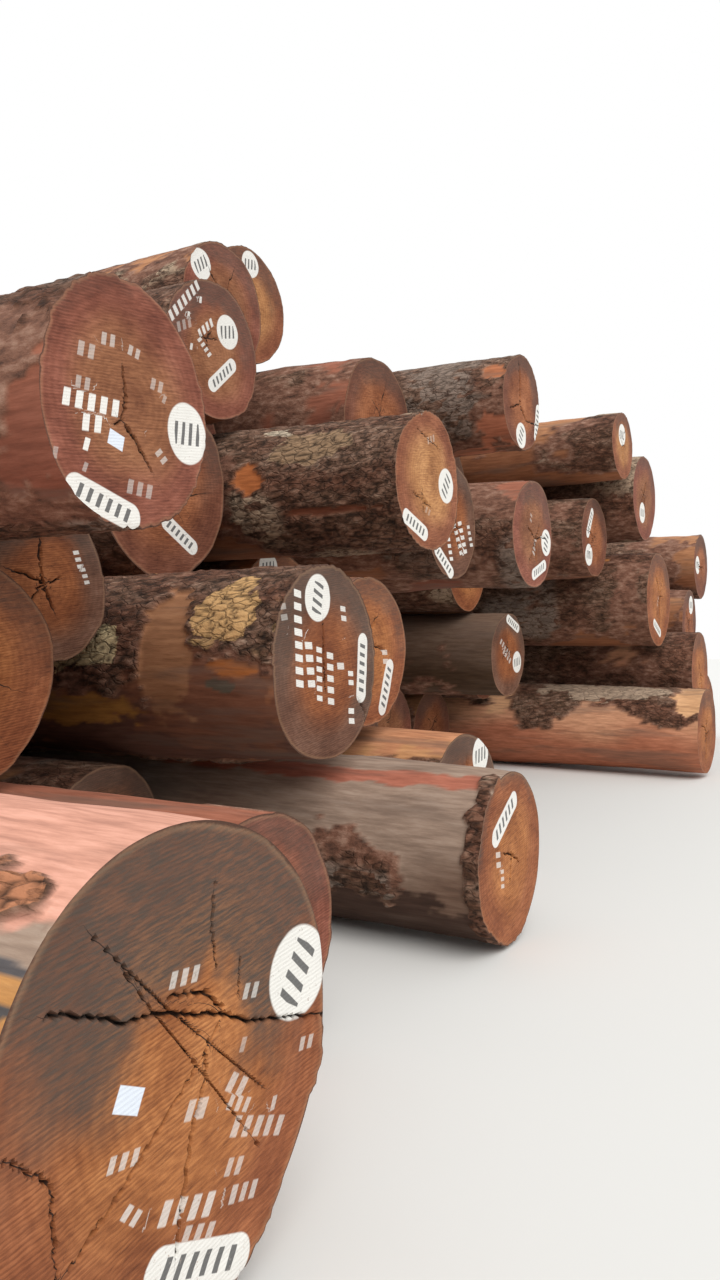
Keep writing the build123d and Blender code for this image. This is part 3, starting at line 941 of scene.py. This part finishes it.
chip_gap, warm, on_plate, in_region, placed, worn_off, dirt = (
    add(tree, "MapRange", SMOOTH, {0: follows, 1: low, 2: high, 3: at_low, 4: at_high}).outputs[0]
    for follows, low, high, at_low, at_high in (
        (chips, 0.0, 0.10, 1.0, 0.0),
        (broad, 0.42, 0.60, 0.0, 0.55),
        (plate, 0.70, 0.80, 1.0, 0.1),
        (region, 0.62, 0.80, 0.0, 0.9),
        (region, 0.90, 0.98, 0.0, 0.92),
        (coarse, 0.38, 0.50, 0.15, 1.0),
        (patch, 0.50, 0.66, 0.0, 0.55),
    )
)

# %% [markdown]
# Colour comes in layers, as on the real log: the bark first, then what lies on it, and the painted
# shade of the furrows last. Each layer has a share from 0 to 1 that says where it lies.

# %% Colours of bark and wood
bark_colour, inner_colour, grain_light = (
    set_ramp(add(tree, "ValToRGB", inputs={0: follows}), stops)
    for follows, stops in (
        (coarse, [
            (0.30, "#36251c"), (0.42, "#5a4130"), (0.52, "#785947"), (0.62, "#937561"),
            (0.76, "#b59d86"),
        ]),
        (coarse, [(0.32, "#4b3227"), (0.50, "#7b5442"), (0.68, "#a07c68")]),
        (grain, [(0.34, "#a3948c"), (0.50, "#dcd3cc"), (0.64, "#ffffff")]),
    )
)

# Crust and lichen lie on some plates, where the region says so, and fill the listed patches.
# Furrows and the gaps between chips get painted shade, nearly black.
crust = add(tree, "Math", TIMES, {0: on_plate, 1: in_region}).outputs[0]
crust = add(tree, "Math", TIMES, {0: crust, 1: worn_off}).outputs[0]
crust = add(tree, "Math", LARGER, {0: crust, 1: placed}).outputs[0]
# Painted shade: the furrows and the gaps between chips are darkened to near black
recess_shade = add(tree, "Math", TIMES, {0: chip_gap, 1: 0.45}).outputs[0]
recess_shade = add(tree, "Math", LARGER, {0: furrow, 1: recess_shade}).outputs[0]
recess_shade = add(tree, "Math", TIMES, {0: recess_shade, 1: 0.85}).outputs[0]
for settings, share, colour in (
    (MULTIPLIED, warm, opaque("#c98e72")), (COLOURS, crust, crust_tint),
    (COLOURS, recess_shade, opaque("#20160f")),
):
    bark_colour = add(tree, "Mix", settings, {
        0: share, MIX_A: bark_colour, MIX_B: colour}).outputs[MIX_OUT]

# Bare wood has its own tint, streaks along the grain and grey dirt. Then the three layers are
# laid over each other: inner bark, bare wood, thick bark.
wood_colour = add(tree, "Mix", MULTIPLIED, {0: 0.6, MIX_A: wood_tint, MIX_B: grain_light})
wood_colour = add(tree, "Mix", COLOURS, {
    0: dirt, MIX_A: wood_colour.outputs[MIX_OUT], MIX_B: opaque("#6b584c")})
lower_colour = add(tree, "Mix", COLOURS, {
    0: bare, MIX_A: inner_colour, MIX_B: wood_colour.outputs[MIX_OUT]})
skin_colour = add(tree, "Mix", COLOURS, {
    0: thick, MIX_A: lower_colour.outputs[MIX_OUT], MIX_B: bark_colour}).outputs[MIX_OUT]

# %% [markdown]
# Crumbs and fibres of a few millimetres would need millions of faces, so they are bump. Two
# Bump nodes follow each other: 16 mm deep for crumbs and chips, 4 mm for fibres.

# %% Relief of bark and wood
lower_height = add(tree, "Mix", NUMBERS, {0: bare, 2: coarse, 3: 0.3}).outputs[0]
chip_depth = add(tree, "Math", TIMES, {0: chip_gap, 1: 0.35}).outputs[0]
bark_height = add(tree, "Math", MINUS, {0: coarse, 1: chip_depth}).outputs[0]
skin_height = add(tree, "Mix", NUMBERS, {0: thick, 2: lower_height, 3: bark_height}).outputs[0]
streak_height = add(tree, "Mix", NUMBERS, {0: bare, 2: fine, 3: grain}).outputs[0]
rough_part = add(tree, "Bump", inputs={
    "Strength": 1.0, "Distance": 0.016, "Height": skin_height}).outputs[0]
fine_part = add(tree, "Bump", inputs={
    "Strength": 0.7, "Distance": 0.004, "Height": streak_height, "Normal": rough_part,
}).outputs[0]
skin = add(tree, "BsdfPrincipled", inputs={
    "Base Color": skin_colour, "Roughness": 0.88, "Specular IOR Level": 0.25, "Normal": fine_part,
})
add(tree, "OutputMaterial", inputs={"Surface": skin.outputs[0]})
print("bark nodes:", len(tree.nodes))

# %% [markdown]
# **Chainsawn end grain.** The chain leaves fine lines and torn fibres at a slight slant, and the
# growth rings show as faint bands round the heart. The middle is red-brown heartwood. A faint
# paler ring of sapwood follows, then the thin dark bark. The face has greyed where rain reached
# it. The paint is a matt white that was sprayed through a stencil, so it is thin and worn.

# %% What a face reads
SLANT = (0.0, math.radians(8), 0.0)

face_material, tree = new_material("chainsawn_end_grain")
edge, check, weather, rows_bright = (
    add(tree, "Attribute", {"attribute_name": field}).outputs["Fac"]
    for field in ("edge", "check", "weather", "rows_bright")
)
face_at, disc_at, pill_at, tag_at, rows_at = (
    add(tree, "Attribute", {"attribute_name": field}).outputs["Vector"]
    for field in ("face_at", "disc_at", "pill_at", "tag_at", "rows_at")
)
face_colour = add(tree, "Attribute", {"attribute_name": "face_tint"}).outputs["Color"]
place = add(tree, "TexCoord").outputs["Object"]
slanted = add(tree, "Mapping", inputs={"Vector": place, "Rotation": SLANT}).outputs[0]
long_fibres = add(tree, "Mapping", inputs={"Vector": slanted, "Scale": (1.0, 1.0, 7.0)}).outputs[0]

# %% [markdown]
# Saw lines and growth rings are waves, bent by noise. The lines of a wave lie 0.314 m divided
# by its scale apart. The real ones lie closer, but would not show in a picture of the whole
# heap, so they are drawn coarser: saw lines 10 mm apart and growth rings 29 mm.

# %% Patterns of the end grain
# Blotches of 0.2 m, pores of 8 mm, fibres 9 mm high and broad clouds where the saw lines show
blotch, pores, fibres, cloud = (
    add(tree, "TexNoise", inputs={
        "Vector": on, "Scale": scale, "Detail": detail, "Roughness": rough,
    }).outputs["Fac"]
    for on, scale, detail, rough in (
        (place, 5.0, 6.0, 0.6), (place, 120.0, 4.0, 0.7), (long_fibres, 16.0, 8.0, 0.72),
        (place, 2.3, 3.0, 0.5),
    )
)
saw_lines, rings = (
    add(tree, "TexWave", settings, {
        "Vector": on, "Scale": scale, "Distortion": 3.0, "Detail": 4.0, "Detail Scale": detail,
    }).outputs["Fac"]
    for settings, on, scale, detail in (
        ({"wave_type": "BANDS", "bands_direction": "Z"}, slanted, 31.0, 1.0),
        ({"wave_type": "RINGS", "rings_direction": "Z"}, face_at, 11.0, 1.5),
    )
)
saw_here, grey_part, worn = (
    add(tree, "MapRange", SMOOTH, {0: follows, 1: low, 2: high, 3: at_low, 4: at_high}).outputs[0]
    for follows, low, high, at_low, at_high in (
        (cloud, 0.44, 0.60, 0.05, 0.45),
        (fibres, 0.36, 0.60, 1.0, 0.68),
        (pores, 0.28, 0.40, 0.35, 1.0),
    )
)

# %% [markdown]
# The face starts from its tint, and each pattern darkens it a little, by multiplying. The
# sapwood and the dark bark lie at the rim, both with a wavering border.

# %% Wood, rim and checks
grey_share = add(tree, "Math", TIMES, {0: weather, 1: grey_part}).outputs[0]
for share, follows, stops in (
    (1.0, blotch, [(0.30, "#b9a599"), (0.50, "#e2d8d0"), (0.68, "#ffffff")]),
    (0.75, fibres, [(0.34, "#a8958b"), (0.50, "#e6ded8"), (0.62, "#ffffff")]),
    (0.3, rings, [(0.0, "#cdbfb5"), (1.0, "#ffffff")]),
    (saw_here, saw_lines, [(0.0, "#a8958a"), (0.6, "#ffffff")]),
):
    shade = set_ramp(add(tree, "ValToRGB", inputs={0: follows}), stops)
    face_colour = add(tree, "Mix", MULTIPLIED, {
        0: share, MIX_A: face_colour, MIX_B: shade}).outputs[MIX_OUT]

rim = edge
for noise, height in ((blotch, 0.055), (pores, 0.020)):
    rim = add(tree, "Math", TIMES_PLUS, {0: noise, 1: height, 2: rim}).outputs[0]
from_check = add(tree, "Math", SIZE, {0: check}).outputs[0]
# The last of these darkens the checks almost to black: painted shade in the cracks
sapwood, bark_rim, check_shade = (
    add(tree, "MapRange", SMOOTH, {0: follows, 1: low, 2: high, 3: at_low, 4: at_high}).outputs[0]
    for follows, low, high, at_low, at_high in (
        (rim, 0.990, 1.024, 0.0, 0.20), (rim, 1.020, 1.036, 0.0, 0.9),
        (from_check, 0.5, 1.3, 0.92, 0.0),
    )
)

# %% [markdown]
# Each mark has its own flat coordinates on the face, in metres, so its shape is drawn with a
# little geometry: a disc is a distance, a pill is the distance to a short line, and the
# stencil bars come from a brick pattern. Noise eats into all of them, as the real paint has
# worn.

# %% Discs, pills and tags
DISC_REACH = 0.108
PILL_HALF, PILL_REACH = 0.125, 0.046
# Step, half width and half height of the bars, and the gap's share of the step
DISC_BARS, PILL_BARS = (0.042, 0.072, 0.041, 0.30), (0.043, PILL_HALF, 0.025, 0.30)
TAG_HALF = (0.036, 0.026, FAR)

pill_size = add(tree, "VectorMath", SIZE, {0: pill_at}).outputs[0]
pill_end = add(tree, "VectorMath", MINUS, {0: pill_size, 1: (PILL_HALF, 0.0, 0.0)}).outputs[0]
pill_end = add(tree, "VectorMath", LARGER, {0: pill_end, 1: (0.0, 0.0, 0.0)}).outputs[0]
disc, pill = (
    add(tree, "MapRange", inputs={
        0: add(tree, "VectorMath", {"operation": "LENGTH"}, {0: vector}).outputs["Value"],
        1: reach - soft, 2: reach + soft, 3: 1.0, 4: 0.0,
    }).outputs[0]
    for vector, reach, soft in ((disc_at, DISC_REACH, 0.003), (pill_end, PILL_REACH, 0.002))
)
white = add(tree, "Math", LARGER, {0: disc, 1: pill}).outputs[0]

# The room left inside a box round the middle of the disc, the pill and the tag
inside_boxes = []
for where, half, most in (
    (disc_at, (*DISC_BARS[1:3], FAR), 0.85), (pill_at, (*PILL_BARS[1:3], FAR), 0.85),
    (tag_at, TAG_HALF, 1.0),
):
    size = add(tree, "VectorMath", SIZE, {0: where}).outputs[0]
    room = add(tree, "VectorMath", MINUS, {0: half, 1: size}).outputs[0]
    sides = add(tree, "SeparateXYZ", inputs={0: room})
    narrow = add(tree, "Math", SMALLER, {0: sides.outputs[0], 1: sides.outputs[1]}).outputs[0]
    inside_boxes.append(add(tree, "MapRange", inputs={
        0: narrow, 1: 0.0, 2: 0.002, 3: 0.0, 4: most}).outputs[0])

# %% [markdown]
# A brick texture is an endless row of equal bars with gaps. Only the part of it that lies inside
# the disc, the pill or the row is kept. A row's coordinates are the slanted place along it, the
# height above or below its middle without a sign, and half its length.

# %% Stencil bars
ROW_GAP = 0.24
BRICK_HIGH = 0.5  # far more than a bar, so that the joint between two courses lies outside it

row_at = add(tree, "SeparateXYZ", inputs={0: rows_at})
from_middle = add(tree, "Math", MINUS, {0: row_at.outputs[0], 1: row_at.outputs[2]}).outputs[0]
from_middle = add(tree, "Math", SIZE, {0: from_middle}).outputs[0]
beside = add(tree, "Math", MINUS, {0: row_at.outputs[2], 1: from_middle}).outputs[0]
over = add(tree, "Math", MINUS, {0: BAR_HALF, 1: row_at.outputs[1]}).outputs[0]
narrow = add(tree, "Math", SMALLER, {0: beside, 1: over}).outputs[0]
inside_row = add(tree, "MapRange", inputs={0: narrow, 1: 0.0, 2: 0.003, 3: 0.0, 4: 1.0}).outputs[0]

# Bars are bricks on slanted coordinates, half a brick up. A row's coordinates are slanted already.
bars = []
for where, slant, step, gap_share, smooth, inside, strength in (
    (disc_at, -BAR_SLANT, DISC_BARS[0], DISC_BARS[3], 0.1, inside_boxes[0], worn),
    (pill_at, -BAR_SLANT, PILL_BARS[0], PILL_BARS[3], 0.1, inside_boxes[1], worn),
    (rows_at, 0.0, BAR_STEP, ROW_GAP, 0.15, inside_row, rows_bright),
):
    at = add(tree, "SeparateXYZ", inputs={0: where})
    across = add(tree, "Math", TIMES_PLUS, {
        0: at.outputs[1], 1: slant, 2: at.outputs[0]}).outputs[0]
    above = add(tree, "Math", PLUS, {0: at.outputs[1], 1: BRICK_HIGH / 2}).outputs[0]
    gaps = add(tree, "TexBrick", {"offset": 0.0}, {
        "Vector": add(tree, "CombineXYZ", inputs={0: across, 1: above}).outputs[0],
        "Scale": 1.0, "Brick Width": step, "Row Height": BRICK_HIGH,
        "Mortar Size": step * gap_share, "Mortar Smooth": smooth,
    }).outputs["Fac"]
    bar = add(tree, "Math", MINUS_CLAMPED, {0: inside, 1: gaps}).outputs[0]
    bars.append(add(tree, "Math", TIMES, {0: bar, 1: strength}).outputs[0])
stencil = add(tree, "Math", LARGER, {0: bars[0], 1: bars[1]}).outputs[0]
white = add(tree, "Math", LARGER, {0: white, 1: bars[2]}).outputs[0]
white = add(tree, "Math", TIMES, {0: white, 1: worn}).outputs[0]

# %% [markdown]
# The last layers go over the wood in the order in which they came in the yard: weather and rim,
# paint, paper tag. The painted shade of the checks comes last, because a crack breaks through all
# of them.

# %% Colours and relief of a face
# Weather, sapwood, bark, white paint, dark stencil bars, the blank paper tag and the painted shade
# in the checks
for share, colour in (
    (grey_share, "#4e4138"), (sapwood, "#b9906c"), (bark_rim, "#4d3328"), (white, "#dedad2"),
    (stencil, "#2f2e30"), (inside_boxes[2], "#d5dae2"), (check_shade, "#1a110c"),
):
    face_colour = add(tree, "Mix", COLOURS, {
        0: share, MIX_A: face_colour, MIX_B: opaque(colour)}).outputs[MIX_OUT]

# The face's own relief
saw_relief = add(tree, "Math", TIMES_PLUS, {0: saw_lines, 1: 0.35, 2: fibres}).outputs[0]
sawn = add(tree, "Bump", inputs={
    "Strength": 0.5, "Distance": 0.003, "Height": saw_relief}).outputs[0]
sawn = add(tree, "Bump", inputs={
    "Strength": 0.3, "Distance": 0.0015, "Height": pores, "Normal": sawn}).outputs[0]
cut = add(tree, "BsdfPrincipled", inputs={
    "Base Color": face_colour, "Roughness": 0.8, "Specular IOR Level": 0.3, "Normal": sawn,
})
add(tree, "OutputMaterial", inputs={"Surface": cut.outputs[0]})
print("end grain nodes:", len(tree.nodes))

# %% [markdown]
# Every log now gets its skin. The logs nearest to the camera have the finest grids, and the
# far and hidden ones a plain coarse one, so that the triangles are spent where they show.

# %% Build all logs
triangles = {name: build_log(name, bark_material, face_material) for name in NAMES}
print("triangles in all:", sum(triangles.values()), "largest piece:", max(triangles.values()))

# %% [markdown]
# The photograph was taken from close by, at eye height, beside the nearest log. So the camera
# is placed from that log's box: a step and a half to its left and a little in front of its
# face. The lens follows from how the sizes of the faces shrink with distance.

# %% Camera
CAMERA_LEFT, CAMERA_BEFORE, EYE_HEIGHT = 1.490, 1.330, 1.440
CAMERA_TURN = 31.78  # degrees from the row of faces towards the logs
FOCAL_PIXELS, IMAGE_LONG, SENSOR = 983.0, 1280, 36.0
HORIZON_ABOVE = 2.5  # pixels above the middle of the picture

low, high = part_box("ground_log_1")
camera_data = bpy.data.cameras.new("viewpoint")
camera_data.sensor_width = SENSOR
camera_data.lens = FOCAL_PIXELS / IMAGE_LONG * SENSOR
camera_data.shift_y = -HORIZON_ABOVE / IMAGE_LONG
camera = bpy.data.objects.new("viewpoint", camera_data)
camera.location = ((low.x + high.x) / 2 - CAMERA_LEFT, low.y - CAMERA_BEFORE, EYE_HEIGHT)
camera.rotation_euler = (math.radians(90), 0, math.radians(CAMERA_TURN - 90))
bpy.context.scene.collection.objects.link(camera)
bpy.context.scene.camera = camera
print("camera at", [round(c, 3) for c in camera.location])

# %% [markdown]
# An overcast day is one huge soft lamp. The world gives that light, and a very wide sun adds a
# little direction, so that the undersides stay dark. The floor is pale and plain.

# %% Floor and light
FLOOR_HALF = 60.0
DAY_STRENGTH = 1.05
SUN_STRENGTH, SUN_WIDE, SUN_FROM = 2.2, 50, (-0.45, -0.75, 0.9)  # its width is in degrees
floor_mesh = bpy.data.meshes.new("floor")
floor_mesh.from_pydata(
    [(-FLOOR_HALF, -FLOOR_HALF, 0), (FLOOR_HALF, -FLOOR_HALF, 0),
     (FLOOR_HALF, FLOOR_HALF, 0), (-FLOOR_HALF, FLOOR_HALF, 0)],
    [], [(0, 1, 2, 3)],
)
floor = bpy.data.objects.new("floor", floor_mesh)
bpy.context.scene.collection.objects.link(floor)
floor_material, tree = new_material("pale_floor")
dull = add(tree, "BsdfPrincipled", inputs={"Base Color": opaque("#d9d6d0"), "Roughness": 0.95})
add(tree, "OutputMaterial", inputs={"Surface": dull.outputs[0]})
floor_mesh.materials.append(floor_material)

world = bpy.data.worlds.new("overcast")
world.use_nodes = True
tree = world.node_tree
tree.nodes.clear()
daylight = add(tree, "Background", inputs={
    "Color": opaque("#e8edf2"), "Strength": DAY_STRENGTH})
backdrop = add(tree, "Background", inputs={"Color": opaque("#ffffff"), "Strength": 1.0})
rays = add(tree, "LightPath")
seen = rays.outputs["Is Camera Ray"]
for ray in ("Is Glossy Ray", "Is Transmission Ray"):
    seen = add(tree, "Math", LARGER, {0: seen, 1: rays.outputs[ray]}).outputs[0]
both = add(tree, "MixShader", inputs={0: seen, 1: daylight.outputs[0], 2: backdrop.outputs[0]})
add(tree, "OutputWorld", inputs={"Surface": both.outputs[0]})
bpy.context.scene.world = world

sun_data = bpy.data.lights.new("soft_sun", "SUN")
sun_data.energy = SUN_STRENGTH
sun_data.angle = math.radians(SUN_WIDE)
sun = bpy.data.objects.new("soft_sun", sun_data)
sun.rotation_euler = Vector(SUN_FROM).to_track_quat("Z", "Y").to_euler()
bpy.context.scene.collection.objects.link(sun)
bpy.context.scene.view_settings.view_transform = "Standard"
